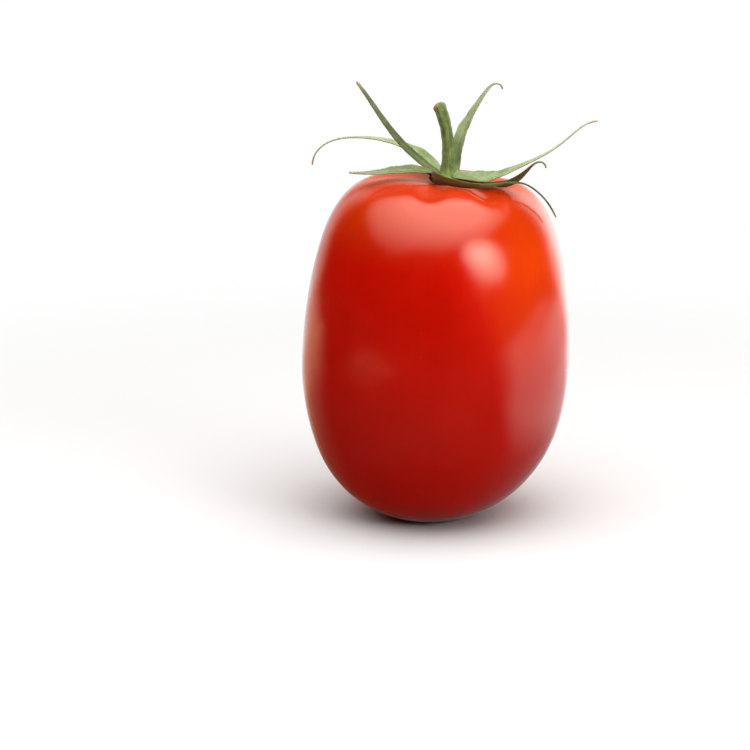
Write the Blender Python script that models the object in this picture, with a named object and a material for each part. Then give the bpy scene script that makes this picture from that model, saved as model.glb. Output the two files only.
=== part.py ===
"""A plum tomato as picked. It stands on a small flat spot, with its calyx and a short stem on the crown.

Metres, +Z up. The origin is the middle of the flat spot. The side with the widest view of the calyx faces -Y.
"""
import bpy
import bmesh
import numpy as np

MM = 0.001

# Fruit: an oval that is widest at WIDEST_HEIGHT, with full shoulders round a shallow dimple
BODY_RADIUS = 26.95 * MM
WIDEST_HEIGHT = 33.0 * MM
CROWN_HEIGHT = 69.6 * MM
BASE_POWER = 2.25
SHOULDER_POWER = 1.6
CROWN_POWER = 5.3
FLAT_RADIUS = 7.0 * MM
DIMPLE_DEPTH = 1.7 * MM
DIMPLE_WIDTH = 5.5 * MM
DIMPLE_FLOOR_RADIUS = 1.2 * MM
FRUIT_RINGS = 54
FRUIT_SIDES = 48

# The body is a little three-sided and a little flattened, each by a part of a millimetre
THREE_SIDED = 0.35 * MM
FLATTENED = 0.3 * MM

# Furrows run down from the dimple over the shoulder: the direction in degrees and the depth of each
FURROWS = ((-101, 0.9 * MM), (-52, 0.9 * MM), (32, 0.5 * MM), (104, 0.9 * MM), (178, 0.15 * MM))
FURROW_RADIUS = 13.0 * MM
FURROW_LENGTH = 4.5 * MM
FURROW_SPREAD = 0.2

# The whole fruit leans to +X, and the dimple sits a little to that side
LEAN = 1.9
LEAN_START = 20.0 * MM
CROWN_SHIFT = 1.2 * MM
CROWN_SHIFT_WIDTH = 14.0 * MM

# Calyx: a low round receptacle in the dimple, from which the sepals and the stem grow
DIMPLE_FLOOR = CROWN_HEIGHT - DIMPLE_DEPTH
SEPAL_ROOT_RADIUS = 1.6 * MM
SEPAL_ROOT_HEIGHT = DIMPLE_FLOOR + 1.9 * MM
SEPAL_THICKNESS = 0.85 * MM
SEPAL_TIP = 0.75 * MM
SEPAL_RINGS = 26
SEPAL_SIDES = 12
RECEPTACLE_SIDES = 20

# Outline of the receptacle as radius and height above the dimple's floor
RECEPTACLE = ((2.3, 0.5), (3.1, 0.75), (3.7, 1.25), (3.9, 1.9), (3.2, 2.4))

# Stem: short, curved over to -X, thickest at its foot
STEM_FOOT_HEIGHT = DIMPLE_FLOOR + 1.1 * MM
STEM_LENGTH = 15.8 * MM
STEM_CLIMB = (89, 91, 93, 97, 103, 110, 118)
STEM_RADII = (1.95, 1.5, 1.26, 1.17, 1.14, 1.18, 1.25)
STEM_RINGS = 17
STEM_SIDES = 16

# Sepals. root is the direction of the root round the stem, climb and heading are the blade's slope and its
# direction seen from above at even steps from root to tip, and roll its twist, all in degrees. cup arches
# the blade across, widest is where along it the blade is broadest, and taper the power of its narrowing.
SEPALS = (
    dict(root=165, length=25.3, width=1.6, cup=0.35, widest=0.2, taper=0.7,
         climb=(34, 36, 41, 48, 52, 52, 48), heading=(172, 170, 168, 167, 166),
         roll=(-20, -60, -78, -78, -60)),
    dict(root=142, length=34.0, width=2.9, cup=0.2, widest=0.2, taper=1.9,
         climb=(44, 31, 16, 9, 2, -5, -17, -44, -90), heading=(140, 148, 156, 162, 166),
         roll=(-10, -15, -10, 0, 0)),
    dict(root=205, length=19.4, width=4.2, cup=0.15, widest=0.3, taper=1.0,
         climb=(28, 14, 2, -3, -5, 0, 4), heading=(207, 200, 195, 193), roll=(-5, -12, -15, -10)),
    dict(root=55, length=23.3, width=3.5, cup=0.2, widest=0.45, taper=1.0,
         climb=(62, 76, 69, 59, 56, 56, 53, 32, -85), heading=(66, 60, 50, 40, 32, 25, 10),
         roll=(0, -10, -10, 0)),
    dict(root=-38, length=34.2, width=4.7, cup=0.15, widest=0.2, taper=2.6,
         climb=(8, 6, 13, 27, 28, 31, 40, 42, 8), heading=(-52, -38, -20, -8, -3, 0), roll=(26, 25, 10, 0)),
    dict(root=-55, length=24.3, width=2.3, cup=0.2, widest=0.5, taper=0.9,
         climb=(8, 10, 1, -7, -5, 22, 43, 32, -88), heading=(-70, -60, -38, -5, 12, 14, 12, 10),
         roll=(0, 5, 5, -15, -50, -60, -30, 0)),
    dict(root=-125, length=37.6, width=2.5, cup=0.2, widest=0.18, taper=3.0,
         climb=(18, 9, 0, -4, -5, 1, 4, 5, -6, -28, -40, -52, -62),
         heading=(-135, -112, -72, -38, -22, -11, 12, 28, 32, 31, 28, 27, 26),
         roll=(-40, -75, -78, -76, -74, -70, -60, -45, -20, 0, 0, 0, 0)),
)


def smooth_step(x):
    x = np.clip(x, 0, 1)
    return x * x * (3 - 2 * x)


def along(values, t):
    """Values set at even steps, read at t from 0 to 1 on a Catmull-Rom curve."""
    v = np.asarray(values, float)
    v = np.concatenate([[2 * v[0] - v[1]], v, [2 * v[-1] - v[-2]]])
    x = np.clip(t, 0, 1) * (len(v) - 3)
    i = np.minimum(x.astype(int), len(v) - 4)
    u = x - i
    p0, p1, p2, p3 = v[i], v[i + 1], v[i + 2], v[i + 3]
    return p1 + 0.5 * u * (p2 - p0 + u * (2 * p0 - 5 * p1 + 4 * p2 - p3 + u * (3 * (p1 - p2) + p3 - p0)))


def lean(points):
    """The points turned about the Y axis, by nothing at the base and by LEAN from LEAN_START up."""
    angle = np.radians(LEAN) * smooth_step(points[..., 2] / LEAN_START)
    x = points[..., 0] * np.cos(angle) + points[..., 2] * np.sin(angle)
    z = points[..., 2] * np.cos(angle) - points[..., 0] * np.sin(angle)
    return np.stack([x, points[..., 1], z], -1)


def fruit_outline(count):
    """Radius and height of the outline from the rim of the flat spot to the rim of the dimple's floor."""
    a = np.linspace(0, np.pi / 2, 600)
    low_radius = BODY_RADIUS * np.sin(a) ** (2 / BASE_POWER)
    low_height = WIDEST_HEIGHT * (1 - np.cos(a) ** (2 / BASE_POWER))
    cut = np.interp(FLAT_RADIUS, low_radius, low_height)
    low_height = (low_height - cut) * WIDEST_HEIGHT / (WIDEST_HEIGHT - cut)
    keep = low_radius > FLAT_RADIUS
    rise = np.sin(a[1:])
    high_radius = BODY_RADIUS * (1 - rise ** SHOULDER_POWER) ** (1 / CROWN_POWER)
    dimple = DIMPLE_DEPTH * np.exp(-(high_radius / DIMPLE_WIDTH) ** 2)
    high_height = WIDEST_HEIGHT + (CROWN_HEIGHT - WIDEST_HEIGHT) * rise - dimple
    open_top = high_radius > DIMPLE_FLOOR_RADIUS
    radius = np.concatenate([[FLAT_RADIUS], low_radius[keep], high_radius[open_top]])
    height = np.concatenate([[0.0], low_height[keep], high_height[open_top]])
    run = np.concatenate([[0.0], np.cumsum(np.hypot(np.diff(radius), np.diff(height)))])
    at = np.linspace(0, run[-1], count)
    return np.interp(at, run, radius), np.interp(at, run, height)


def fruit_surface(rings, sides):
    """Points of the fruit's skin, ring by ring from the flat spot up to the dimple's floor."""
    radius, height = fruit_outline(rings)
    slope_r, slope_z = np.gradient(radius), np.gradient(height)
    size = np.hypot(slope_r, slope_z)
    out_r, out_z = (slope_z / size)[:, None], (-slope_r / size)[:, None]
    r, z = radius[:, None], height[:, None]
    turn = np.linspace(0, 2 * np.pi, sides, endpoint=False)[None]
    swell = np.sin(np.pi * np.linspace(0, 1, rings)[:, None]) ** 2
    bump = swell * (THREE_SIDED * np.cos(3 * turn - 0.6) + FLATTENED * np.cos(2 * turn + 0.8))
    reach = np.exp(-((r - FURROW_RADIUS) / FURROW_LENGTH) ** 2) * (z > WIDEST_HEIGHT)
    for direction, depth in FURROWS:
        away = np.angle(np.exp(1j * (turn - np.radians(direction))))
        bump = bump - depth * reach * np.exp(-(away / FURROW_SPREAD) ** 2)
    bump = bump * (z > 0)
    shift = CROWN_SHIFT * np.exp(-(r / CROWN_SHIFT_WIDTH) ** 2) * (z > WIDEST_HEIGHT)
    ring = r + out_r * bump
    skin = np.stack([ring * np.cos(turn) + shift, ring * np.sin(turn), z + out_z * bump], -1)
    return lean(skin)


def route(start, length, climb, heading, count):
    """Points of a curve that sets off at start, with its direction, its sideways and its upward normal."""
    t = np.linspace(0, 1, count)
    c, h = np.radians(along(climb, t)), np.radians(along(heading, t))
    ahead = np.stack([np.cos(c) * np.cos(h), np.cos(c) * np.sin(h), np.sin(c)], -1)
    steps = (ahead[1:] + ahead[:-1]) / 2 * length / (count - 1)
    points = np.asarray(start) + np.concatenate([np.zeros((1, 3)), np.cumsum(steps, 0)])
    side = np.stack([-np.sin(h), np.cos(h), 0 * h], -1)
    return points, side, np.cross(ahead, side), t


def sepal_rings(root, length, width, cup, widest, taper, climb, heading, roll):
    """Rings of points round a thin arched blade that narrows to its tip."""
    direction = np.radians(root)
    start = (SEPAL_ROOT_RADIUS * np.cos(direction) + CROWN_SHIFT, SEPAL_ROOT_RADIUS * np.sin(direction),
             SEPAL_ROOT_HEIGHT)
    points, side, up, t = route(start, length * MM, climb, heading, SEPAL_RINGS)
    twist = np.radians(along(roll, t))[:, None]
    across = side * np.cos(twist) + up * np.sin(twist)
    face = up * np.cos(twist) - side * np.sin(twist)
    swell = 0.7 + 0.3 * np.sin(np.clip(t / widest, 0, 1) * np.pi / 2)
    narrow = (1 - np.clip((t - widest) / (1 - widest), 0, 1)) ** taper
    half_width = (SEPAL_TIP + (width * MM - SEPAL_TIP) * swell * narrow) / 2
    half_thick = (SEPAL_TIP + (SEPAL_THICKNESS - SEPAL_TIP) * (1 - t)) / 2
    turn = (np.arange(SEPAL_SIDES) + 0.5) / SEPAL_SIDES * 2 * np.pi
    sideways = np.cos(turn)
    outward = np.sign(np.sin(turn)) * np.sqrt(np.abs(np.sin(turn)))
    broad = np.clip(half_width / MM - 0.5, 0, 1)
    arch = (cup * half_width * broad)[:, None] * sideways ** 2
    lift = half_thick[:, None] * outward + arch
    shift = across[:, None] * (half_width[:, None] * sideways)[..., None]
    return lean(points[:, None] + shift + face[:, None] * lift[..., None])


def stem_rings():
    """Rings of points round the curved stem, with its cut end square to it."""
    start = (CROWN_SHIFT, 0, STEM_FOOT_HEIGHT)
    points, side, up, t = route(start, STEM_LENGTH, STEM_CLIMB, (0, 0), STEM_RINGS)
    radius = along(STEM_RADII, t)[:, None, None] * MM
    turn = np.arange(STEM_SIDES) / STEM_SIDES * 2 * np.pi
    ring = side[:, None] * np.cos(turn)[:, None] + up[:, None] * np.sin(turn)[:, None]
    return lean(points[:, None] + radius * ring)


def receptacle_rings():
    """Rings of points of the turned receptacle, flat above and below."""
    outline = np.array(RECEPTACLE) * MM
    turn = np.arange(RECEPTACLE_SIDES) / RECEPTACLE_SIDES * 2 * np.pi
    x = outline[:, :1] * np.cos(turn) + CROWN_SHIFT
    y = outline[:, :1] * np.sin(turn)
    z = DIMPLE_FLOOR + outline[:, 1:] + 0 * turn
    return lean(np.stack([x, y, z], -1))


def solid(name, rings, twin_faces=False):
    """A closed object from rings of points. With twin_faces, both faces of a blade are split alike."""
    count, sides = rings.shape[:2]
    bm = bmesh.new()
    verts = [[bm.verts.new(p) for p in ring] for ring in rings]
    for i in range(count - 1):
        for j in range(sides):
            k = (j + 1) % sides
            a, b, c, d = verts[i][j], verts[i][k], verts[i + 1][k], verts[i + 1][j]
            if twin_faces and j < sides // 2:
                bm.faces.new((a, b, d))
                bm.faces.new((b, c, d))
            else:
                bm.faces.new((a, b, c))
                bm.faces.new((a, c, d))
    bm.faces.new(verts[0][::-1])
    bm.faces.new(verts[-1])
    bmesh.ops.recalc_face_normals(bm, faces=bm.faces)
    mesh = bpy.data.meshes.new(name)
    bm.to_mesh(mesh)
    bm.free()
    obj = bpy.data.objects.new(name, mesh)
    bpy.context.scene.collection.objects.link(obj)
    return obj


def material(name, color, roughness):
    mat = bpy.data.materials.new(name)
    mat.use_nodes = True
    shader = mat.node_tree.nodes["Principled BSDF"]
    shader.inputs["Base Color"].default_value = (*color, 1.0)
    shader.inputs["Roughness"].default_value = roughness
    shader.inputs["Metallic"].default_value = 0.0
    return mat


def finish(obj, mat, sharp_angle):
    obj.data.materials.clear()
    obj.data.materials.append(mat)
    obj.data.shade_smooth()
    obj.data.set_sharp_from_angle(angle=np.radians(sharp_angle))


def make_fruit():
    fruit = solid("fruit", fruit_surface(FRUIT_RINGS, FRUIT_SIDES))
    finish(fruit, material("fruit_skin", (0.55, 0.02, 0.006), 0.25), 50)
    return fruit


def make_calyx():
    """The receptacle with the sepals and the stem fused to it."""
    calyx = solid("calyx", receptacle_rings())
    grown = bpy.data.collections.new("grown_on_receptacle")
    bpy.context.scene.collection.children.link(grown)
    pieces = [solid(f"sepal_{i + 1}", sepal_rings(**sepal), twin_faces=True) for i, sepal in enumerate(SEPALS)]
    pieces.append(solid("stem", stem_rings()))
    for piece in pieces:
        grown.objects.link(piece)
    union = calyx.modifiers.new("union", "BOOLEAN")
    union.operation = "UNION"
    union.operand_type = "COLLECTION"
    union.collection = grown
    union.solver = "EXACT"
    fused = bpy.data.meshes.new_from_object(calyx.evaluated_get(bpy.context.evaluated_depsgraph_get()))
    calyx.modifiers.clear()
    calyx.data = fused
    for piece in pieces:
        bpy.data.objects.remove(piece)
    bpy.data.collections.remove(grown)
    finish(calyx, material("calyx_green", (0.16, 0.24, 0.06), 0.6), 60)
    return calyx


def main():
    for obj in list(bpy.data.objects):
        bpy.data.objects.remove(obj)
    make_fruit()
    make_calyx()


main()
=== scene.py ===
"""Looks of a ripe plum tomato: its waxy skin, and its calyx of thin hairy sepals with a short cut stem.

Metres in the frame; shapes are worked out in millimetres and multiplied by MM when they become meshes.
"""
import bpy
import numpy as np
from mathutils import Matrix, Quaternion, Vector


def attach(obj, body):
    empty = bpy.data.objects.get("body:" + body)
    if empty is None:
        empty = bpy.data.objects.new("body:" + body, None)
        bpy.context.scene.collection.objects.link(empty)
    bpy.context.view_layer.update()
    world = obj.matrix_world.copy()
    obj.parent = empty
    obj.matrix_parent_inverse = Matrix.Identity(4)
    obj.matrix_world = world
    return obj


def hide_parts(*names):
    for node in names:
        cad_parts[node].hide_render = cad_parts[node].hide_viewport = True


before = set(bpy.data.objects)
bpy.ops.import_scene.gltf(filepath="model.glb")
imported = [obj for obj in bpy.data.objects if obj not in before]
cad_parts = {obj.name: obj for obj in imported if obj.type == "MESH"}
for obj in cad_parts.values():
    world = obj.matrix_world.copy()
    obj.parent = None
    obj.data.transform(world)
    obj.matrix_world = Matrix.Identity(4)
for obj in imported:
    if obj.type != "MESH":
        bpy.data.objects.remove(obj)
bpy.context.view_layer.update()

MM = 0.001

# Shape of the fruit, in millimetres: the same oval, lobes, furrows and lean as the solid
BODY_RADIUS = 26.95
WIDEST_HEIGHT = 33.0
CROWN_HEIGHT = 69.6
BASE_POWER = 2.25
SHOULDER_POWER = 1.6
CROWN_POWER = 5.3
FLAT_RADIUS = 7.0
DIMPLE_DEPTH = 1.7
DIMPLE_WIDTH = 5.5
THREE_SIDED = 0.35
THREE_SIDED_TURN = -0.6
FLATTENED = 0.3
FLATTENED_TURN = 0.8
FURROWS = ((-101, 0.9), (-52, 0.9), (32, 0.5), (104, 0.9), (178, 0.15))
FURROW_RADIUS = 13.0
FURROW_LENGTH = 4.5
FURROW_SPREAD = 0.2
LEAN = 1.9
LEAN_START = 20.0
CROWN_SHIFT = 1.2
CROWN_SHIFT_WIDTH = 14.0
SCAR_DEPTH = 0.25
SCAR_RADIUS = 1.3
OUTLINE_STEPS = 1200

# Calyx, in millimetres and degrees: the same routes as the solid's sepals and stem
DIMPLE_FLOOR = CROWN_HEIGHT - DIMPLE_DEPTH
SEPAL_ROOT_RADIUS = 1.6
SEPAL_ROOT_HEIGHT = DIMPLE_FLOOR + 1.9
STEM_FOOT_HEIGHT = DIMPLE_FLOOR + 1.1
STEM_LENGTH = 15.8
STEM_CLIMB = (89, 91, 93, 97, 103, 110, 118)
STEM_RADII = (1.95, 1.5, 1.26, 1.17, 1.14, 1.18, 1.25)
STEM_FLARE = 0.9
STEM_FLARE_LENGTH = 0.8
STEM_END_ROUNDING = 0.8
RECEPTACLE = ((2.3, 0.5), (3.1, 0.75), (3.7, 1.25), (3.9, 1.9), (3.2, 2.4))

# Each sepal: the compass direction of its root, its length and width, how much it arches (cup), how far
# along it is widest, how quickly it then narrows (taper), and, at even steps along it, its slope (climb),
# its compass direction (heading) and its twist (roll)
SEPALS = (
    dict(root=165, length=25.3, width=1.6, cup=0.35, widest=0.2, taper=0.7,
         climb=(34, 36, 41, 48, 52, 52, 48), heading=(172, 170, 168, 167, 166),
         roll=(-20, -60, -78, -78, -60)),
    dict(root=142, length=34.0, width=2.9, cup=0.2, widest=0.2, taper=1.9,
         climb=(44, 31, 16, 9, 2, -5, -17, -44, -90), heading=(140, 148, 156, 162, 166),
         roll=(-10, -15, -10, 0, 0)),
    dict(root=205, length=19.4, width=4.2, cup=0.15, widest=0.3, taper=1.0,
         climb=(28, 14, 2, -3, -5, 0, 4), heading=(207, 200, 195, 193), roll=(-5, -12, -15, -10)),
    dict(root=55, length=23.3, width=3.5, cup=0.2, widest=0.45, taper=1.0,
         climb=(62, 76, 69, 59, 56, 56, 53, 32, -85), heading=(66, 60, 50, 40, 32, 25, 10),
         roll=(0, -10, -10, 0)),
    dict(root=-38, length=34.2, width=4.7, cup=0.15, widest=0.2, taper=2.6,
         climb=(8, 6, 13, 27, 28, 31, 40, 42, 8), heading=(-52, -38, -20, -8, -3, 0), roll=(26, 25, 10, 0)),
    dict(root=-55, length=24.3, width=2.3, cup=0.2, widest=0.5, taper=0.9,
         climb=(8, 10, 1, -7, -5, 22, 43, 32, -88), heading=(-70, -60, -38, -5, 12, 14, 12, 10),
         roll=(0, 5, 5, -15, -50, -60, -30, 0)),
    dict(root=-125, length=37.6, width=2.5, cup=0.2, widest=0.18, taper=3.0,
         climb=(18, 9, 0, -4, -5, 1, 4, 5, -6, -28, -40, -52, -62),
         heading=(-135, -112, -72, -38, -22, -11, 12, 28, 32, 31, 28, 27, 26),
         roll=(-40, -75, -78, -76, -74, -70, -60, -45, -20, 0, 0, 0, 0)),
)

# How each sepal ages: how pale its thin tail has dried, and how fresh its green is, both from 0 to 1
SEPAL_AGE = ((0.2, 0.05), (1.0, 0.95), (0.3, 0.1), (0.3, 0.7), (1.0, 0.7), (0.0, 0.3), (0.0, 0.0))

# Blades, in millimetres: finer than the solid's, and thick only where their roots join the receptacle
TAIL_WIDTH = 0.5
TIP_HALF_THICKNESS = 0.16
HALF_THICKNESS_GAIN = 0.06
ROOT_SWELL = 0.75
ROOT_SWELL_LENGTH = 2.0

# Side veins: 5.2 radians a millimetre is one every 1.2 mm, and they slant by 1.1 mm along the blade for each
# millimetre from the rib
VEIN_WAVE = 5.2
VEIN_SLANT = 1.1

# Camera: the photo looks down on the fruit by 13.5 degrees, and shows its middle at this pixel
CAMERA_ELEVATION = 13.5
CAMERA_DISTANCE = 600.0
MM_PER_PIXEL = 0.2022
FRAME_PIXELS = 750
FRUIT_PIXEL = (429.3, 345.5)
FRUIT_MIDDLE = (0.0, 0.0, 35.0)
SENSOR = 36.0

# Brightness of the studio round the compass: direction in degrees from the front, + to the right, and level
STUDIO = ((-180, 0.1), (-170, 0.12), (-160, 0.6), (-150, 1.0), (-140, 0.7), (-131, 0.12), (-122, 0.0),
          (116, 0.0), (123, 0.2), (131, 1.3), (144, 2.5), (157, 1.9), (166, 1.3), (173, 0.5), (180, 0.1))
STUDIO_TOP = 2.5
WARM_LIGHT = (1.0, 0.6, 0.4, 1.0)
WHITE = (1.0, 1.0, 1.0, 1.0)

# A bright patch of the table that the fruit mirrors low on its left side, in metres
GLOW_PLACE = (-0.29, -0.2, 0.0)

# Lights, in metres: two stacks of STACK panels, STACK_STEP apart. The one overhead goes from the outline
# (left, right, front, back) of its lowest panel to that of its highest. The one at front right goes from
# LAMP_SIZE times the first of LAMP_SCALES to the second, turned about its own axis by LAMP_ROLL degrees
STACK = 8
STACK_STEP = 0.001
PANEL_LOWEST = (-1.0, 0.72, -0.92, 0.36)
PANEL_HIGHEST = (-0.08, 0.36, -0.42, 0.14)
PANEL_HEIGHT = 0.55
PANEL_RADIANCE = 3.6
LAMP_PLACE = (0.71, -0.68, 0.44)
LAMP_SIZE = (0.6, 0.3)
LAMP_SCALES = (1.5, 0.35)
LAMP_RADIANCE = 8.6
LAMP_ROLL = -20.0


def linear(hex_colour):
    """An sRGB hex colour such as "#c41404" as linear red, green, blue and an alpha of 1."""
    srgb = np.array([int(hex_colour[i:i + 2], 16) for i in (1, 3, 5)]) / 255
    rgb = np.where(srgb <= 0.04045, srgb / 12.92, ((srgb + 0.055) / 1.055) ** 2.4)
    return (*rgb.tolist(), 1.0)


def smooth_step(x):
    """3x^2 - 2x^3 between 0 and 1, flat outside."""
    x = np.clip(x, 0, 1)
    return x * x * (3 - 2 * x)


def along(values, t):
    """Values set at even steps, read at t from 0 to 1 on a Catmull-Rom curve."""
    v = np.asarray(values, float)
    v = np.concatenate([[2 * v[0] - v[1]], v, [2 * v[-1] - v[-2]]])
    x = np.clip(t, 0, 1) * (len(v) - 3)
    i = np.minimum(x.astype(int), len(v) - 4)
    u = x - i
    p0, p1, p2, p3 = v[i], v[i + 1], v[i + 2], v[i + 3]
    return p1 + 0.5 * u * (p2 - p0 + u * (2 * p0 - 5 * p1 + 4 * p2 - p3 + u * (3 * (p1 - p2) + p3 - p0)))


def lean(points):
    """The points turned about the Y axis, by nothing at the base and by LEAN from LEAN_START up."""
    angle = np.radians(LEAN) * smooth_step(points[..., 2] / LEAN_START)
    x = points[..., 0] * np.cos(angle) + points[..., 2] * np.sin(angle)
    z = points[..., 2] * np.cos(angle) - points[..., 0] * np.sin(angle)
    return np.stack([x, points[..., 1], z], -1)


def tube_mesh(name, grid, attributes=None, ends=(None, None)):
    """An object from rings of points: grid is (rings, sides, 3) in millimetres, wrapped round its sides.

    Each end is closed by a fan to the given pole point, or to the ring's middle. attributes maps a name to
    values for each grid point, with 1 or 3 numbers each; a pole takes its ring's mean.
    """
    rings, sides = grid.shape[:2]
    poles = [grid[i].mean(0) if p is None else np.asarray(p, float) for i, p in zip((0, -1), ends)]
    points = np.concatenate([grid.reshape(-1, 3), poles]) * MM
    i, j = np.meshgrid(np.arange(rings - 1), np.arange(sides), indexing="ij")
    k = (j + 1) % sides
    here, above = i * sides, (i + 1) * sides
    quads = np.stack([here + j, here + k, above + k, above + j], -1).reshape(-1, 4)
    edge = np.arange(sides)
    after = (edge + 1) % sides
    last = (rings - 1) * sides
    foot = np.stack([after, edge, np.full(sides, rings * sides)], -1)
    head = np.stack([last + edge, last + after, np.full(sides, rings * sides + 1)], -1)
    mesh = bpy.data.meshes.new(name)
    mesh.from_pydata(points.tolist(), [], quads.tolist() + foot.tolist() + head.tolist())
    for key, values in (attributes or {}).items():
        flat = values.reshape(rings * sides, -1)
        ends_mean = np.stack([flat[:sides].mean(0), flat[last:].mean(0)])
        flat = np.concatenate([flat, ends_mean])
        kind, field = ("FLOAT", "value") if flat.shape[1] == 1 else ("FLOAT_VECTOR", "vector")
        mesh.attributes.new(key, kind, "POINT").data.foreach_set(field, flat.astype(np.float32).ravel())
    mesh.shade_smooth()
    obj = bpy.data.objects.new(name, mesh)
    bpy.context.scene.collection.objects.link(obj)
    return obj


def node(tree, kind, inputs=None, stops=None, **settings):
    """Adds a node. inputs maps a socket to a value, or to another node's output, which is linked.

    settings are the node's own values, and stops the (place, colour) pairs of a colour ramp.
    """
    made = tree.nodes.new("ShaderNode" + kind)
    for key, value in settings.items():
        setattr(made, key, value)
    for key, value in (inputs or {}).items():
        if isinstance(value, bpy.types.NodeSocket):
            tree.links.new(value, made.inputs[key])
        else:
            made.inputs[key].default_value = value
    if stops:
        ramp = made.color_ramp
        while len(ramp.elements) < len(stops):
            ramp.elements.new(0.5)
        for element, (place, colour) in zip(ramp.elements, stops):
            element.position = place
            element.color = colour
    return made


def new_material(name):
    """A material with only its Principled BSDF and output, as (material, tree, shader)."""
    made = bpy.data.materials.new(name)
    made.use_nodes = True
    return made, made.node_tree, made.node_tree.nodes["Principled BSDF"]


# The fruit's skin

def fruit_outline(count):
    """Radius and height in millimetres from the flat spot's middle up to the dimple's middle, at even steps.

    Below the widest height the outline is the superellipse r = R sin^(2/p), with a flat cut of FLAT_RADIUS.
    Above it r = R (1 - s^a)^(1/b) for s from 0 to 1, and the dimple is a bell curve pressed into the height.
    """
    a = np.linspace(0, np.pi / 2, OUTLINE_STEPS)
    low_radius = BODY_RADIUS * np.sin(a) ** (2 / BASE_POWER)
    low_height = WIDEST_HEIGHT * (1 - np.cos(a) ** (2 / BASE_POWER))
    cut = np.interp(FLAT_RADIUS, low_radius, low_height)
    low_height = np.maximum((low_height - cut) * WIDEST_HEIGHT / (WIDEST_HEIGHT - cut), 0)
    rise = np.sin(a[1:])
    high_radius = BODY_RADIUS * (1 - rise ** SHOULDER_POWER) ** (1 / CROWN_POWER)
    dimple = DIMPLE_DEPTH * np.exp(-(high_radius / DIMPLE_WIDTH) ** 2)
    high_height = WIDEST_HEIGHT + (CROWN_HEIGHT - WIDEST_HEIGHT) * rise - dimple
    radius = np.concatenate([low_radius, high_radius])
    height = np.concatenate([low_height, high_height])
    run = np.concatenate([[0.0], np.cumsum(np.hypot(np.diff(radius), np.diff(height)))])
    at = np.linspace(0, run[-1], count + 2)[1:-1]
    return np.interp(at, run, radius), np.interp(at, run, height), at


def make_skin(rings=236, sides=400):
    """The fruit's skin: the outline turned round the axis, then pushed along its own outward direction.

    The push is two cosines of the compass, of three and two waves, less a bell curve at each furrow, plus
    products of sines a few hundredths of a millimetre high that bend the highlights. It fades out at the
    flat spot. Near the top everything shifts sideways by a bell curve of the radius.
    """
    radius, height, run = fruit_outline(rings)
    slope_r, slope_z = np.gradient(radius), np.gradient(height)
    size = np.hypot(slope_r, slope_z)
    out_r, out_z = (slope_z / size)[:, None], (-slope_r / size)[:, None]
    r, z = radius[:, None], height[:, None]
    turn = np.linspace(0, 2 * np.pi, sides, endpoint=False)[None]
    swell = np.sin(np.pi * np.linspace(0, 1, rings)[:, None]) ** 2
    bump = swell * (THREE_SIDED * np.cos(3 * turn + THREE_SIDED_TURN)
                    + FLATTENED * np.cos(2 * turn + FLATTENED_TURN))
    reach = np.exp(-((r - FURROW_RADIUS) / FURROW_LENGTH) ** 2) * (z > WIDEST_HEIGHT)
    for direction, depth in FURROWS:
        away = np.angle(np.exp(1j * (turn - np.radians(direction))))
        bump = bump - depth * reach * np.exp(-(away / FURROW_SPREAD) ** 2)
    ripple = 0.05 * np.sin(7 * turn + z / 6.0 + 1.3) * np.sin(z / 4.3 + 2 * np.sin(3 * turn))
    ripple = ripple + 0.03 * np.sin(13 * turn - z / 5.0) * np.sin(z / 2.9 + np.sin(5 * turn) + 0.7)
    bump = (bump + swell * ripple) * smooth_step(z / 2.0)
    shift = CROWN_SHIFT * np.exp(-(r / CROWN_SHIFT_WIDTH) ** 2) * (z > WIDEST_HEIGHT)
    scar = SCAR_DEPTH * np.exp(-(r / SCAR_RADIUS) ** 2) * (z < WIDEST_HEIGHT)
    ring = r + out_r * bump
    points = np.stack([ring * np.cos(turn) + shift, ring * np.sin(turn), z + out_z * bump + scar], -1)

    # grain is the place on the skin with the way up counted a tenth, so that noise on it makes streaks;
    # from_axis and from_scar are the distances to the dimple's and the scar's middle, far on the other half
    grain = np.stack([BODY_RADIUS * np.cos(turn) + 0 * r, BODY_RADIUS * np.sin(turn) + 0 * r,
                      0.1 * run[:, None] + 0 * turn], -1)
    far = 60.0
    from_axis = np.where(z > WIDEST_HEIGHT, r, far) + 0 * turn
    from_scar = np.where(z > WIDEST_HEIGHT, far, r) + 0 * turn
    ends = ((0.0, 0.0, SCAR_DEPTH), lean(np.array([CROWN_SHIFT, 0.0, DIMPLE_FLOOR])))
    skin = tube_mesh("fruit_skin", lean(points), ends=ends,
                     attributes={"grain": grain, "from_axis": from_axis, "from_scar": from_scar})
    skin.data.materials.append(skin_material())
    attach(skin, "root")
    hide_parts("fruit")
    return skin


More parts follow.
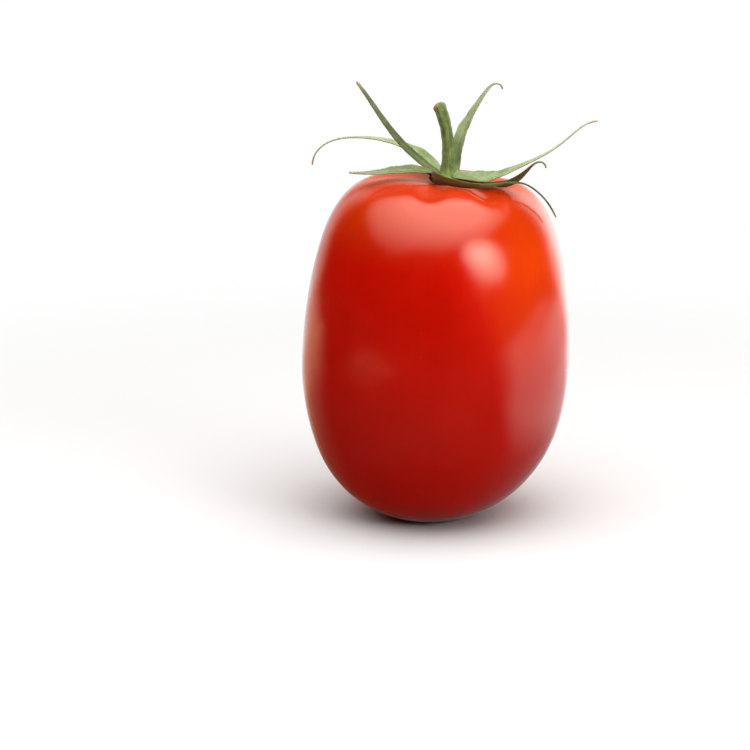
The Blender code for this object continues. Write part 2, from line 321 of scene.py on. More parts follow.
def skin_material():
    """Tomato cuticle: a thin wax film over red flesh. The eye gets wide soft highlights, deep clear red that
    turns a brighter orange on the right shoulder, partly the skin's own riper tint and partly painted light,
    a deeper red low down that is painted shade, faint streaks from stem to tip, and tiny pale flecks."""
    made, tree, shader = new_material("tomato_cuticle")
    place = node(tree, "TexCoord").outputs["Object"]
    mm = node(tree, "VectorMath", {0: place, "Scale": 1000.0}, operation="SCALE").outputs[0]
    grain = node(tree, "Attribute", attribute_name="grain").outputs["Vector"]
    from_axis = node(tree, "Attribute", attribute_name="from_axis").outputs["Fac"]
    from_scar = node(tree, "Attribute", attribute_name="from_scar").outputs["Fac"]

    # Ripeness and painted light: orange on the right, most of all high up, partly the skin's own riper tint
    # and partly painted light from the right, broken up by 18 mm clouds and faint streaks; a duller orange
    # on the crown, and painted shade as a deeper red further down
    axes = node(tree, "SeparateXYZ", {0: mm}).outputs
    # Partly painted light: the right side, most of all high up, is made brighter and more orange
    side = node(tree, "MapRange", {"Value": axes["X"], "From Min": 1.0, "From Max": 22.0, "To Min": 0.0,
                                   "To Max": 0.85}, interpolation_type="SMOOTHSTEP").outputs[0]
    high = node(tree, "MapRange", {"Value": axes["Z"], "From Min": 28.0, "From Max": 56.0, "To Min": 0.35,
                                   "To Max": 1.0}, interpolation_type="SMOOTHSTEP").outputs[0]
    side = node(tree, "Math", {0: side, 1: high}, operation="MULTIPLY").outputs[0]
    crown = node(tree, "MapRange", {"Value": axes["Z"], "From Min": 54.0, "From Max": 68.0, "To Min": 0.0,
                                    "To Max": 0.9}, interpolation_type="SMOOTHSTEP").outputs[0]
    cloud = node(tree, "TexNoise", {"Vector": mm, "Scale": 1 / 18, "Detail": 3.0,
                                    "Roughness": 0.55}).outputs[0]
    cloud = node(tree, "MapRange", {"Value": cloud, "From Min": 0.3, "From Max": 0.7,
                                    "To Min": -0.08, "To Max": 0.12}).outputs[0]
    ripeness_and_painted_light = node(tree, "Math", {0: side, 1: cloud}, operation="ADD").outputs[0]
    # Painted shade: low grows further down the fruit, where a darker red stands in for shade
    low = node(tree, "MapRange", {"Value": axes["Z"], "From Min": 52.0, "From Max": 12.0,
                                  "To Min": 0.0, "To Max": 0.85}).outputs[0]
    streak = node(tree, "TexNoise", {"Vector": grain, "Scale": 1 / 1.1, "Detail": 4.0,
                                     "Roughness": 0.6}).outputs[0]
    streak = node(tree, "MapRange", {"Value": streak, "From Min": 0.25, "From Max": 0.75,
                                     "To Min": -0.03, "To Max": 0.03}).outputs[0]
    ripeness_and_painted_light = node(tree, "Math", {0: ripeness_and_painted_light, 1: streak}, operation="ADD").outputs[0]
    colour = node(tree, "ValToRGB", {"Fac": ripeness_and_painted_light}, stops=(
        (0.0, linear("#b80d01")), (0.25, linear("#cb1403")), (0.55, linear("#d92d05")),
        (1.0, linear("#e84607")))).outputs[0]
    colour = node(tree, "Mix", {0: crown, 6: colour, 7: linear("#c03206")}, data_type="RGBA").outputs[2]
    # Painted shade: the lower fruit turns a darker red
    colour = node(tree, "Mix", {0: low, 6: colour, 7: linear("#960701")}, data_type="RGBA").outputs[2]

    # Flecks: pale dots about 0.25 mm across, one to a 2 mm cell, fading in and out over the skin
    cells = node(tree, "TexVoronoi", {"Vector": mm, "Scale": 1 / 2.0}, feature="F1").outputs["Distance"]
    fleck = node(tree, "MapRange", {"Value": cells, "From Min": 0.035, "From Max": 0.09,
                                    "To Min": 1.0, "To Max": 0.0}).outputs[0]
    where = node(tree, "TexNoise", {"Vector": mm, "Scale": 1 / 9, "Detail": 2.0}).outputs[0]
    where = node(tree, "MapRange", {"Value": where, "From Min": 0.45, "From Max": 0.62,
                                    "To Min": 0.0, "To Max": 0.14}).outputs[0]
    fleck = node(tree, "Math", {0: fleck, 1: where}, operation="MULTIPLY").outputs[0]
    colour = node(tree, "Mix", {0: fleck, 6: colour, 7: linear("#f0803c")}, data_type="RGBA").outputs[2]

    # Cork: a tan ring where the calyx sits, with an orange halo round it, and a brown scar under the fruit
    ring = node(tree, "TexNoise", {"Vector": grain, "Scale": 1 / 2.5, "Detail": 3.0}).outputs[0]
    ring = node(tree, "MapRange", {"Value": ring, "To Min": -1.5, "To Max": 1.5}).outputs[0]
    ring = node(tree, "Math", {0: from_axis, 1: ring}, operation="ADD").outputs[0]
    halo = node(tree, "MapRange", {"Value": ring, "From Min": 2.6, "From Max": 7.0, "To Min": 0.35,
                                   "To Max": 0.0}, interpolation_type="SMOOTHSTEP").outputs[0]
    colour = node(tree, "Mix", {0: halo, 6: colour, 7: linear("#c8480f")}, data_type="RGBA").outputs[2]
    cork = node(tree, "MapRange", {"Value": ring, "From Min": 1.9, "From Max": 2.7,
                                   "To Min": 0.8, "To Max": 0.0}).outputs[0]
    colour = node(tree, "Mix", {0: cork, 6: colour, 7: linear("#8d6a3c")}, data_type="RGBA").outputs[2]
    scar = node(tree, "TexNoise", {"Vector": mm, "Scale": 1 / 0.8, "Detail": 3.0}).outputs[0]
    scar = node(tree, "MapRange", {"Value": scar, "To Min": -0.6, "To Max": 0.6}).outputs[0]
    scar = node(tree, "Math", {0: from_scar, 1: scar}, operation="ADD").outputs[0]
    scar_edge = node(tree, "MapRange", {"Value": scar, "From Min": 0.9, "From Max": 1.5,
                                        "To Min": 1.0, "To Max": 0.0}).outputs[0]
    colour = node(tree, "Mix", {0: scar_edge, 6: colour, 7: linear("#6a4a2c")}, data_type="RGBA").outputs[2]
    tree.links.new(colour, shader.inputs["Base Color"])

    # Gloss: wax with slightly duller clouds, duller round the calyx, and rough cork
    dull = node(tree, "TexNoise", {"Vector": mm, "Scale": 1 / 6, "Detail": 5.0, "Roughness": 0.6}).outputs[0]
    gloss = node(tree, "MapRange", {"Value": dull, "From Min": 0.3, "From Max": 0.7,
                                    "To Min": 0.13, "To Max": 0.18}).outputs[0]
    worn = node(tree, "MapRange", {"Value": from_axis, "From Min": 9.0, "From Max": 17.0, "To Min": 0.14,
                                   "To Max": 0.0}, interpolation_type="SMOOTHSTEP").outputs[0]
    gloss = node(tree, "Math", {0: gloss, 1: worn}, operation="ADD").outputs[0]
    rough = node(tree, "Math", {0: cork, 1: scar_edge}, operation="MAXIMUM").outputs[0]
    gloss = node(tree, "Mix", {0: rough, 2: gloss, 3: 0.8}, data_type="FLOAT").outputs[0]
    tree.links.new(gloss, shader.inputs["Roughness"])

    # Relief: skin cells drawn as 0.45 mm pebbles, coarser than life so that they show close to
    pebble = node(tree, "TexNoise", {"Vector": mm, "Scale": 1 / 0.45, "Detail": 2.0}).outputs[0]
    bump = node(tree, "Bump", {"Height": pebble, "Strength": 0.25, "Distance": 0.00002}).outputs[0]
    tree.links.new(bump, shader.inputs["Normal"])
    shader.inputs["IOR"].default_value = 1.5
    shader.inputs["Specular IOR Level"].default_value = 0.65
    shader.inputs["Specular Tint"].default_value = (1.0, 0.97, 0.8, 1.0)
    shader.inputs["Subsurface Weight"].default_value = 0.12
    shader.inputs["Subsurface Radius"].default_value = (1.0, 0.25, 0.1)
    shader.inputs["Subsurface Scale"].default_value = 0.0012
    return made


# The calyx

def route(start, length, climb, heading, count):
    """Points of a curve that sets off at start, with its sideways and its upward normal.

    The direction has the slope climb and the compass direction heading, and the points are its running sum.
    """
    t = np.linspace(0, 1, count)
    c, h = np.radians(along(climb, t)), np.radians(along(heading, t))
    ahead = np.stack([np.cos(c) * np.cos(h), np.cos(c) * np.sin(h), np.sin(c)], -1)
    steps = (ahead[1:] + ahead[:-1]) / 2 * length / (count - 1)
    points = np.asarray(start) + np.concatenate([np.zeros((1, 3)), np.cumsum(steps, 0)])
    side = np.stack([-np.sin(h), np.cos(h), 0 * h], -1)
    return points, side, np.cross(ahead, side), t


def sepal_grid(index, root, length, width, cup, widest, taper, climb, heading, roll, rings=150, sides=44):
    """Rings of points round a thin leaf blade, and the attributes its material reads.

    Across the blade v = cos(a) runs from one margin to the other, and w is half the width. The blade's
    height there is an arch of v^2, plus or minus half its thickness times a power of sin(a), with a groove
    along the rib above, a raised rib below, and margins that ripple as a sine. The root swells.
    """
    direction = np.radians(root)
    start = (SEPAL_ROOT_RADIUS * np.cos(direction) + CROWN_SHIFT, SEPAL_ROOT_RADIUS * np.sin(direction),
             SEPAL_ROOT_HEIGHT)
    points, side, up, t = route(start, length, climb, heading, rings)
    run = t * length
    twist = np.radians(along(roll, t))[:, None]
    across = side * np.cos(twist) + up * np.sin(twist)
    face = up * np.cos(twist) - side * np.sin(twist)
    swell = 0.6 + 0.4 * np.sin(np.clip(t / widest, 0, 1) * np.pi / 2)
    narrow = (1 - np.clip((t - widest) / (1 - widest), 0, 1)) ** taper
    half = (TAIL_WIDTH + (width - TAIL_WIDTH) * swell * narrow) / 2
    half = half * (1 + 0.025 * np.sin(run * 1.7 + index) + 0.01 * np.sin(run * 3.9 + 2 * index))
    half = half * np.sqrt(np.clip((1 - t) / 0.02, 0.02, 1))
    thick = TIP_HALF_THICKNESS + HALF_THICKNESS_GAIN * (1 - t)
    thick = thick + ROOT_SWELL * np.exp(-(run / ROOT_SWELL_LENGTH) ** 2)
    a = (np.arange(sides) / sides * 2 * np.pi)[None]
    v = np.cos(a)
    top = np.sign(np.sin(a)) * np.abs(np.sin(a)) ** 0.6
    w = half[:, None]
    broad = np.clip(w - 0.5, 0, 1)
    arch = cup * w * broad * v ** 2
    rib = np.exp(-(v * w / 0.28) ** 2) * np.clip(w - 0.3, 0, 1)
    relief = np.where(top > 0, -0.07, -0.2) * rib
    wave = np.sin((run[:, None] - VEIN_SLANT * np.abs(v) * w) * VEIN_WAVE)
    veins = 0.025 * wave * np.clip(w - 0.8, 0, 1) * np.abs(v)
    ripple = 0.06 * np.clip(w - 0.7, 0, 1) * np.abs(v) ** 3
    ripple = ripple * np.sin(run[:, None] * 1.45 + np.where(v > 0, 0.4, 2.1) + 1.7 * index)
    lift = np.minimum(thick[:, None], np.maximum(w, 0.12)) * top + arch + relief + veins + ripple
    grid = points[:, None] + across[:, None] * (w * v)[..., None] + face[:, None] * lift[..., None]

    # blade is the place on the blade in millimetres, and its third number sets each sepal's pattern apart
    place = np.stack([v * w, run[:, None] + 0 * v, 9.0 * index + 0 * v * w], -1)
    pale, fresh = SEPAL_AGE[index]
    age = np.stack([t[:, None] + 0 * v, pale + 0 * w * v, fresh + 0 * w * v], -1)
    attributes = {"blade": place, "age": age, "under": (top < 0) * 1.0 + 0 * w,
                  "margin": np.abs(v) ** 6 + 0 * w, "broad": smooth_step((w - 0.4) / 0.6) + 0 * v}
    return lean(grid), attributes


def make_sepals():
    """The seven sepals, each a closed thin blade rooted in the receptacle."""
    leaf = leaf_material()
    made = []
    for index, sepal in enumerate(SEPALS):
        grid, attributes = sepal_grid(index, **sepal)
        obj = tube_mesh(f"sepal_{index + 1}", grid, attributes)
        obj.data.materials.append(leaf)
        made.append(obj)
    return made


def make_stem(bark, rings=120, sides=72):
    """The stem: a tube along its route, flared where it meets the sepals, with a swollen cut end.

    Its radius is read along STEM_RADII, plus cosines of the turn for ribs and sines of the run for knots.
    """
    start = (CROWN_SHIFT, 0, STEM_FOOT_HEIGHT)
    points, side, up, t = route(start, STEM_LENGTH, STEM_CLIMB, (0, 0), rings)
    run = t * STEM_LENGTH
    turn = (np.arange(sides) / sides * 2 * np.pi)[None]
    radius = along(STEM_RADII, t) + STEM_FLARE * np.exp(-run / STEM_FLARE_LENGTH)
    near_end = np.clip(1 - (STEM_LENGTH - run) / STEM_END_ROUNDING, 0, 1)
    radius = radius * np.sqrt(1 - 0.9 * near_end ** 2)
    run = run[:, None]
    ribs = 0.07 * np.cos(6 * turn + 0.08 * run) + 0.03 * np.cos(11 * turn + 1.0)
    knots = 0.03 * np.sin(run * 1.9 + 3 * np.sin(turn)) + 0.02 * np.sin(run * 4.1 + 2 * turn)
    ring = (radius[:, None] + ribs + knots)[..., None]
    outwards = side[:, None] * np.cos(turn)[..., None] + up[:, None] * np.sin(turn)[..., None]

    # The cut is slanted: the torn tissue reaches 1.4 mm down on one side and not at all on the other
    torn = smooth_step((run - STEM_LENGTH + 0.5 + 0.9 * np.sin(turn)) / 0.6)
    stem = tube_mesh("stem", lean(points[:, None] + ring * outwards), {"foot": run + 0 * turn, "torn": torn})
    stem.data.materials.append(bark)
    return stem


def make_receptacle(bark, rings=28, sides=96):
    """The low green disc that carries the sepals: the outline RECEPTACLE turned round the axis, with seven
    soft lobes as a cosine of the compass."""
    outline = np.array(RECEPTACLE)
    t = np.linspace(0, 1, rings)
    radius, height = along(outline[:, 0], t)[:, None], along(outline[:, 1], t)[:, None]
    turn = np.linspace(0, 2 * np.pi, sides, endpoint=False)[None]
    radius = radius * (1 + 0.05 * np.cos(7 * turn + 0.4)) - 0.1
    points = np.stack([radius * np.cos(turn) + CROWN_SHIFT, radius * np.sin(turn),
                       DIMPLE_FLOOR + height + 0 * turn], -1)
    run = 2.0 * t[:, None] + 0 * turn
    receptacle = tube_mesh("receptacle", lean(points), {"foot": run, "torn": 0 * run})
    receptacle.data.materials.append(bark)
    return receptacle


def leaf_material():
    """Tomato sepal: a soft leaf under a felt of fine pale hairs. The eye gets a dull grey-green with a paler
    rib and side veins, darker freckles, a yellow-green margin, a brown-olive underside that is painted shade
    and painted red light bounced from the fruit, and a dried tan tip.
    The attribute broad is 1 on the blade and 0 on the thin tail, where veins, freckles and felt fade out."""
    made, tree, shader = new_material("sepal_leaf")
    blade = node(tree, "Attribute", attribute_name="blade").outputs["Vector"]
    age = node(tree, "Attribute", attribute_name="age").outputs["Vector"]
    under = node(tree, "Attribute", attribute_name="under").outputs["Fac"]
    margin = node(tree, "Attribute", attribute_name="margin").outputs["Fac"]
    broad = node(tree, "Attribute", attribute_name="broad").outputs["Fac"]
    axes = node(tree, "SeparateXYZ", {0: blade}).outputs
    across = node(tree, "Math", {0: axes["X"]}, operation="ABSOLUTE").outputs[0]
    run = axes["Y"]
    ages = node(tree, "SeparateXYZ", {0: age}).outputs
    tip, pale, fresh = ages["X"], ages["Y"], ages["Z"]

    # Clouds of green 2.5 mm wide, brighter on the fresh sepals, then faint freckles of 0.35 mm
    cloud = node(tree, "TexNoise", {"Vector": blade, "Scale": 1 / 2.5, "Detail": 3.0}).outputs[0]
    dull = node(tree, "ValToRGB", {"Fac": cloud}, stops=(
        (0.3, linear("#434c28")), (0.5, linear("#566033")), (0.7, linear("#6a7443")))).outputs[0]
    bright = node(tree, "ValToRGB", {"Fac": cloud}, stops=(
        (0.3, linear("#7a8a58")), (0.5, linear("#8f9f6d")), (0.7, linear("#a4b283")))).outputs[0]
    colour = node(tree, "Mix", {0: fresh, 6: dull, 7: bright}, data_type="RGBA").outputs[2]
    speck = node(tree, "TexNoise", {"Vector": blade, "Scale": 1 / 0.35, "Detail": 2.0}).outputs[0]
    speck = node(tree, "MapRange", {"Value": speck, "From Min": 0.52, "From Max": 0.66,
                                    "To Min": 0.0, "To Max": 0.3}).outputs[0]
    speck = node(tree, "Math", {0: speck, 1: broad}, operation="MULTIPLY").outputs[0]
    colour = node(tree, "Mix", {0: speck, 6: colour, 7: linear("#4a562e")}, data_type="RGBA").outputs[2]

    # Veins: a pale rib that fades out 0.3 mm from the middle, and side veins that slant towards the tip
    rib = node(tree, "MapRange", {"Value": across, "From Min": 0.06, "From Max": 0.3,
                                  "To Min": 0.3, "To Max": 0.0}).outputs[0]
    slant = node(tree, "Math", {0: across, 1: -VEIN_SLANT}, operation="MULTIPLY").outputs[0]
    slant = node(tree, "Math", {0: run, 1: slant}, operation="ADD").outputs[0]
    wave = node(tree, "Math", {0: slant, 1: VEIN_WAVE}, operation="MULTIPLY").outputs[0]
    wave = node(tree, "Math", {0: wave}, operation="SINE").outputs[0]
    vein = node(tree, "MapRange", {"Value": wave, "From Min": 0.55, "From Max": 1.0,
                                   "To Min": 0.0, "To Max": 0.14}).outputs[0]
    vein = node(tree, "Math", {0: rib, 1: vein}, operation="MAXIMUM").outputs[0]
    vein = node(tree, "Math", {0: vein, 1: broad}, operation="MULTIPLY").outputs[0]
    colour = node(tree, "Mix", {0: vein, 6: colour, 7: linear("#a9b67e")}, data_type="RGBA").outputs[2]

    # The underside is a brownish olive, painted shade with painted red light bounced from the fruit, and the
    # margin a thin yellow-green line
    wide = node(tree, "MapRange", {"Value": broad, "From Max": 0.25,
                                   "To Min": 0.0, "To Max": 0.9}).outputs[0]
    below = node(tree, "Math", {0: under, 1: wide}, operation="MULTIPLY").outputs[0]
    colour = node(tree, "Mix", {0: below, 6: colour, 7: linear("#5a3911")}, data_type="RGBA").outputs[2]
    rim = node(tree, "Math", {0: margin, 1: 0.25}, operation="MULTIPLY").outputs[0]
    rim = node(tree, "Math", {0: rim, 1: broad}, operation="MULTIPLY").outputs[0]
    colour = node(tree, "Mix", {0: rim, 6: colour, 7: linear("#a0a052")}, data_type="RGBA").outputs[2]

    # The thin tail pales as it dries, and the last of it is tan
    tail = node(tree, "MapRange", {"Value": tip, "From Min": 0.3, "From Max": 0.75,
                                   "To Min": 0.0, "To Max": 0.85}).outputs[0]
    tail = node(tree, "Math", {0: tail, 1: pale}, operation="MULTIPLY").outputs[0]
    colour = node(tree, "Mix", {0: tail, 6: colour, 7: linear("#b4b69c")}, data_type="RGBA").outputs[2]
    fray = node(tree, "MapRange", {"Value": cloud, "To Min": -0.05, "To Max": 0.05}).outputs[0]
    dry = node(tree, "Math", {0: tip, 1: fray}, operation="ADD").outputs[0]
    dry = node(tree, "MapRange", {"Value": dry, "From Min": 0.91, "From Max": 0.98,
                                  "To Min": 0.0, "To Max": 0.85}).outputs[0]
    colour = node(tree, "Mix", {0: dry, 6: colour, 7: linear("#a58d68")}, data_type="RGBA").outputs[2]
    tree.links.new(colour, shader.inputs["Base Color"])

    # Felt: a grain of 0.15 mm over the veins, drawn coarser than real hairs so that it shows
    felt = node(tree, "TexNoise", {"Vector": blade, "Scale": 1 / 0.15, "Detail": 2.0}).outputs[0]
    felt = node(tree, "Math", {0: felt, 1: broad}, operation="MULTIPLY").outputs[0]
    height = node(tree, "Math", {0: felt, 1: vein}, operation="ADD").outputs[0]
    bump = node(tree, "Bump", {"Height": height, "Strength": 0.3, "Distance": 0.00004}).outputs[0]
    tree.links.new(bump, shader.inputs["Normal"])
    shader.inputs["Roughness"].default_value = 0.62
    shader.inputs["IOR"].default_value = 1.4
    shader.inputs["Specular IOR Level"].default_value = 0.3
    shader.inputs["Sheen Weight"].default_value = 0.06
    shader.inputs["Sheen Roughness"].default_value = 0.5
    shader.inputs["Subsurface Weight"].default_value = 0.15
    shader.inputs["Subsurface Radius"].default_value = (0.5, 0.8, 0.2)
    shader.inputs["Subsurface Scale"].default_value = 0.0004
    return made


def stem_material():
    """Tomato stem: green bark with low ribs and short hairs. The eye gets a duller, browner green than the
    sepals, with dark flecks and streaks along it, a fresh light green foot and a tan torn end."""
    made, tree, shader = new_material("stem_bark")
    place = node(tree, "TexCoord").outputs["Object"]
    mm = node(tree, "VectorMath", {0: place, "Scale": 1000.0}, operation="SCALE").outputs[0]
    foot = node(tree, "Attribute", attribute_name="foot").outputs["Fac"]
    fibre = node(tree, "Mapping", {"Vector": mm, "Scale": (1.0, 1.0, 0.15)}).outputs[0]
    streak = node(tree, "TexNoise", {"Vector": fibre, "Scale": 1 / 0.5, "Detail": 3.0}).outputs[0]
    colour = node(tree, "ValToRGB", {"Fac": streak}, stops=(
        (0.3, linear("#566534")), (0.5, linear("#6d7c43")), (0.72, linear("#839257")))).outputs[0]
    speck = node(tree, "TexNoise", {"Vector": mm, "Scale": 1 / 0.3, "Detail": 2.0}).outputs[0]
    speck = node(tree, "MapRange", {"Value": speck, "From Min": 0.55, "From Max": 0.68,
                                    "To Min": 0.0, "To Max": 0.35}).outputs[0]
    colour = node(tree, "Mix", {0: speck, 6: colour, 7: linear("#3f4a22")}, data_type="RGBA").outputs[2]
    fresh = node(tree, "MapRange", {"Value": foot, "From Min": 0.5, "From Max": 2.4,
                                    "To Min": 0.8, "To Max": 0.0}).outputs[0]
    colour = node(tree, "Mix", {0: fresh, 6: colour, 7: linear("#86a832")}, data_type="RGBA").outputs[2]
    torn = node(tree, "Attribute", attribute_name="torn").outputs["Fac"]
    colour = node(tree, "Mix", {0: torn, 6: colour, 7: linear("#9a7c4a")}, data_type="RGBA").outputs[2]
    tree.links.new(colour, shader.inputs["Base Color"])
    height = node(tree, "TexNoise", {"Vector": fibre, "Scale": 1 / 0.2, "Detail": 3.0}).outputs[0]
    bump = node(tree, "Bump", {"Height": height, "Strength": 0.5, "Distance": 0.00008}).outputs[0]
    tree.links.new(bump, shader.inputs["Normal"])
    shader.inputs["Roughness"].default_value = 0.6
    shader.inputs["IOR"].default_value = 1.4
    shader.inputs["Specular IOR Level"].default_value = 0.3
    shader.inputs["Sheen Weight"].default_value = 0.05
    return made


# The studio

def surroundings(tree, towards):
    """Brightness and tint of the studio in a direction: dark in front, with a bright wall behind on either
    side that fades upwards, and a low bright backdrop between them. The left wall is warm, and so are the
    backdrop just above the table and the upper part of both walls."""
    unit = node(tree, "VectorMath", {0: towards}, operation="NORMALIZE").outputs["Vector"]
    axes = node(tree, "SeparateXYZ", {0: unit}).outputs
    front = node(tree, "Math", {0: axes["Y"], 1: -1.0}, operation="MULTIPLY").outputs[0]
    compass = node(tree, "Math", {0: axes["X"], 1: front}, operation="ARCTAN2").outputs[0]
    turn = node(tree, "MapRange", {"Value": compass, "From Min": -np.pi, "From Max": np.pi}).outputs[0]
    grey = [((degrees + 180) / 360, (level / STUDIO_TOP,) * 3 + (1.0,)) for degrees, level in STUDIO]
    level = node(tree, "ValToRGB", {"Fac": turn}, stops=grey).outputs[0]
    walls = node(tree, "MapRange", {"Value": axes["Z"], "From Min": 0.45, "From Max": 0.78,
                                    "To Min": STUDIO_TOP, "To Max": 0.0},
                 interpolation_type="SMOOTHSTEP").outputs[0]
    level = node(tree, "Math", {0: level, 1: walls}, operation="MULTIPLY").outputs[0]
    low = node(tree, "MapRange", {"Value": axes["Z"], "From Min": 0.0, "From Max": 0.42, "To Min": 1.0,
                                  "To Max": 0.45}, interpolation_type="SMOOTHSTEP").outputs[0]
    back = node(tree, "MapRange", {"Value": front, "From Min": -0.8, "From Max": -0.97},
                interpolation_type="SMOOTHSTEP").outputs[0]
    low = node(tree, "Math", {0: low, 1: back}, operation="MULTIPLY").outputs[0]
    level = node(tree, "Math", {0: level, 1: low}, operation="MAXIMUM").outputs[0]
    warm = node(tree, "MapRange", {"Value": axes["X"], "From Min": -0.3, "From Max": -0.75},
                interpolation_type="SMOOTHSTEP").outputs[0]
    raised = node(tree, "MapRange", {"Value": axes["Z"], "From Min": 0.02, "From Max": 0.2},
                  interpolation_type="SMOOTHSTEP").outputs[0]
    raised = node(tree, "Math", {0: raised, 1: back}, operation="MULTIPLY").outputs[0]
    warm = node(tree, "Math", {0: warm, 1: raised}, operation="MAXIMUM").outputs[0]
    high = node(tree, "MapRange", {"Value": axes["Z"], "From Min": 0.2, "From Max": 0.6, "To Min": 0.0,
                                   "To Max": 0.7}).outputs[0]
    warm = node(tree, "Math", {0: warm, 1: high}, operation="MAXIMUM").outputs[0]
    tint = node(tree, "Mix", {0: warm, 6: WHITE, 7: WARM_LIGHT}, data_type="RGBA").outputs[2]
    return level, tint


def make_stage():
    """A white table: lit and shaded near the fruit, and even white further off. In reflections its front
    half is dim, as in a dark studio."""
    half = 3.0
    corners = [(-half, -half, 0), (half, -half, 0), (half, half, 0), (-half, half, 0)]
    mesh = bpy.data.meshes.new("table")
    mesh.from_pydata(corners, [], [(0, 1, 2, 3)])
    table = bpy.data.objects.new("table", mesh)
    bpy.context.scene.collection.objects.link(table)
    made, tree, shader = new_material("white_table")
    shader.inputs["Base Color"].default_value = (0.7, 0.7, 0.7, 1.0)
    shader.inputs["Roughness"].default_value = 0.9
    shader.inputs["Specular IOR Level"].default_value = 0.0
    place = node(tree, "TexCoord").outputs["Object"]
    away = node(tree, "VectorMath", {0: place}, operation="LENGTH").outputs["Value"]
    far = node(tree, "MapRange", {"Value": away, "From Min": 0.06, "From Max": 0.24},
               interpolation_type="SMOOTHSTEP").outputs[0]
    path = node(tree, "LightPath").outputs
    level = node(tree, "MapRange", {"Value": path["Is Diffuse Ray"],
                                    "To Min": 1.0, "To Max": 0.45}).outputs[0]
    white = node(tree, "Emission", {"Color": WHITE, "Strength": level}).outputs[0]
    seen = node(tree, "MixShader", {0: far, 1: shader.outputs[0], 2: white}).outputs[0]

    # In reflections the table has a bright sheet on the right, which starts 60 degrees from the front, and
    # one behind on the left; both fade out 0.3 to 0.75 m away
    bright, tint = surroundings(tree, place)
    axes = node(tree, "SeparateXYZ", {0: place}).outputs
    ahead = node(tree, "Math", {0: axes["Y"], 1: away}, operation="DIVIDE").outputs[0]
    right = node(tree, "MapRange", {"Value": ahead, "From Min": -0.66, "From Max": -0.34, "To Min": 0.0,
                                    "To Max": 1.2}, interpolation_type="SMOOTHSTEP").outputs[0]
    side = node(tree, "MapRange", {"Value": axes["X"], "From Min": 0.02, "From Max": 0.08},
                interpolation_type="SMOOTHSTEP").outputs[0]
    right = node(tree, "Math", {0: right, 1: side}, operation="MULTIPLY").outputs[0]
    near = node(tree, "MapRange", {"Value": away, "From Min": 0.3, "From Max": 0.75, "To Min": 1.0,
                                   "To Max": 0.0}, interpolation_type="SMOOTHSTEP").outputs[0]
    right = node(tree, "Math", {0: right, 1: near}, operation="MULTIPLY").outputs[0]
    behind = node(tree, "Math", {0: axes["X"], 1: -0.3}, operation="MULTIPLY").outputs[0]
    behind = node(tree, "Math", {0: axes["Y"], 1: behind}, operation="SUBTRACT").outputs[0]
    left = node(tree, "MapRange", {"Value": behind, "From Min": -0.03, "From Max": 0.09, "To Min": 0.0,
                                   "To Max": 1.1}, interpolation_type="SMOOTHSTEP").outputs[0]
    left = node(tree, "Math", {0: left, 1: near}, operation="MULTIPLY").outputs[0]
    bright = node(tree, "Math", {0: bright, 1: right}, operation="MAXIMUM").outputs[0]
    bright = node(tree, "Math", {0: bright, 1: left}, operation="MAXIMUM").outputs[0]
    glow = node(tree, "VectorMath", {0: place, 1: GLOW_PLACE}, operation="DISTANCE").outputs["Value"]
    glow = node(tree, "MapRange", {"Value": glow, "From Min": 0.2, "From Max": 0.06, "To Min": 0.0,
                                   "To Max": 0.5}, interpolation_type="SMOOTHSTEP").outputs[0]
    bright = node(tree, "Math", {0: bright, 1: glow}, operation="ADD").outputs[0]
    mirrored = node(tree, "Emission", {"Color": tint, "Strength": bright}).outputs[0]
    mixed = node(tree, "MixShader", {0: path["Is Glossy Ray"], 1: seen, 2: mirrored}).outputs[0]
    output = next(n for n in tree.nodes if n.type == "OUTPUT_MATERIAL")
    tree.links.new(mixed, output.inputs["Surface"])
    mesh.materials.append(made)


def make_world():
    """White all round to the eye; in light and reflections, the surroundings' walls and backdrop."""
    world = bpy.data.worlds.new("studio")
    bpy.context.scene.world = world
    world.use_nodes = True
    tree = world.node_tree
    shader = tree.nodes["Background"]
    direction = node(tree, "TexCoord").outputs["Generated"]
    around, tint = surroundings(tree, direction)
    to_eye = node(tree, "LightPath").outputs["Is Camera Ray"]
    strength = node(tree, "Mix", {0: to_eye, 2: around, 3: 1.0}, data_type="FLOAT").outputs[0]
    tree.links.new(strength, shader.inputs["Strength"])
    seen = node(tree, "Mix", {0: to_eye, 6: tint, 7: WHITE}, data_type="RGBA").outputs[2]
    tree.links.new(seen, shader.inputs["Color"])


def area_light(name, place, aim, size, radiance, roll=0.0):
    """A soft elliptical light of size (width, height) in metres at place, facing aim, with this radiance."""
    data = bpy.data.lights.new(name, "AREA")
    data.shape = "ELLIPSE"
    data.size, data.size_y = size
    area = np.pi / 4 * size[0] * size[1]
    data.energy = radiance * np.pi * area
    light = bpy.data.objects.new(name, data)
    light.location = place
    facing = (Vector(aim) - Vector(place)).to_track_quat("-Z", "Y")
    light.rotation_euler = (facing @ Quaternion((0, 0, 1), np.radians(roll))).to_euler()
    light.visible_camera = False
    bpy.context.scene.collection.objects.link(light)


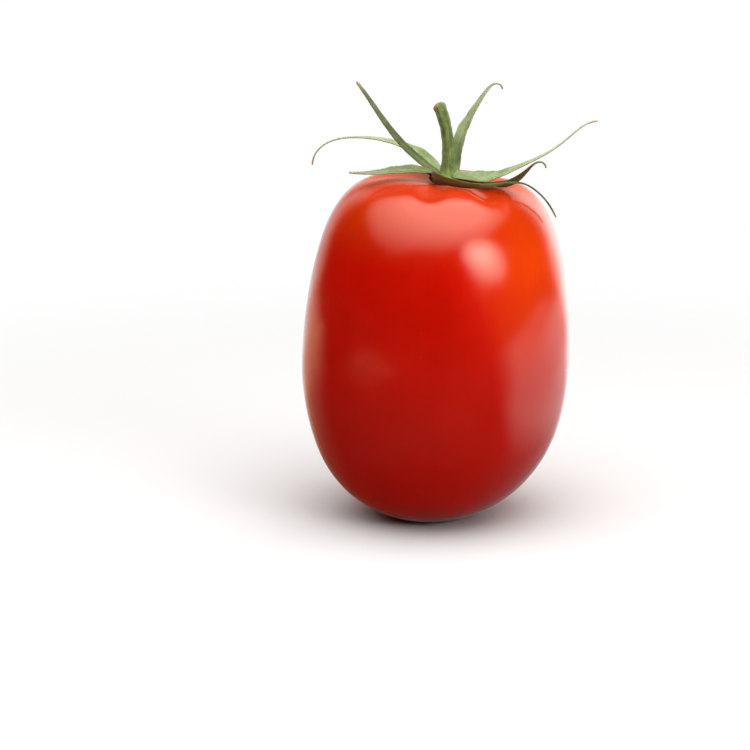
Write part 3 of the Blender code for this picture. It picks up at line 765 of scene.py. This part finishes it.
def make_lights():
    """A wide panel overhead, which draws the broad highlight on the crown, and a lamp at front right. Each
    is a stack of ellipses that grow smaller, so that its edges fade."""
    middle = Vector(FRUIT_MIDDLE) * MM
    for i in range(STACK):
        t = i / (STACK - 1)
        left, right, front, back = (a + (b - a) * t for a, b in zip(PANEL_LOWEST, PANEL_HIGHEST))
        x, y = (left + right) / 2, (front + back) / 2
        area_light("overhead_panel", (x, y, PANEL_HEIGHT + STACK_STEP * i), (x, y, 0.0),
                   (right - left, back - front), PANEL_RADIANCE / STACK)
        scale = LAMP_SCALES[0] + (LAMP_SCALES[1] - LAMP_SCALES[0]) * t
        place = Vector(LAMP_PLACE) + Vector((0.0, 0.0, STACK_STEP * i))
        area_light("front_lamp", place, middle, [side * scale for side in LAMP_SIZE],
                   LAMP_RADIANCE / STACK, roll=LAMP_ROLL)


def make_camera():
    """The camera at the photo's angle, turned a little so that the fruit's middle falls on FRUIT_PIXEL."""
    tilt = np.radians(CAMERA_ELEVATION)
    ahead = Vector((0.0, np.cos(tilt), -np.sin(tilt)))
    place = Vector(FRUIT_MIDDLE) - ahead * CAMERA_DISTANCE
    right = Vector((1.0, 0.0, 0.0))
    up = right.cross(ahead)
    off = [(FRUIT_PIXEL[i] - FRAME_PIXELS / 2) * MM_PER_PIXEL for i in (0, 1)]
    aim = Vector(FRUIT_MIDDLE) - right * off[0] + up * off[1]
    data = bpy.data.cameras.new("camera")
    data.sensor_width = SENSOR
    data.lens = SENSOR * CAMERA_DISTANCE / MM_PER_PIXEL / FRAME_PIXELS
    data.clip_start = 0.01
    camera = bpy.data.objects.new("camera", data)
    camera.location = place * MM
    camera.rotation_euler = (aim - place).to_track_quat("-Z", "Y").to_euler()
    bpy.context.scene.collection.objects.link(camera)
    bpy.context.scene.camera = camera


make_camera()
make_skin()
bark = stem_material()
calyx = make_sepals() + [make_stem(bark), make_receptacle(bark)]
for piece in calyx:
    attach(piece, "root")
    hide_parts("calyx")
make_stage()
make_world()
make_lights()
bpy.context.scene.view_settings.view_transform = "Standard"
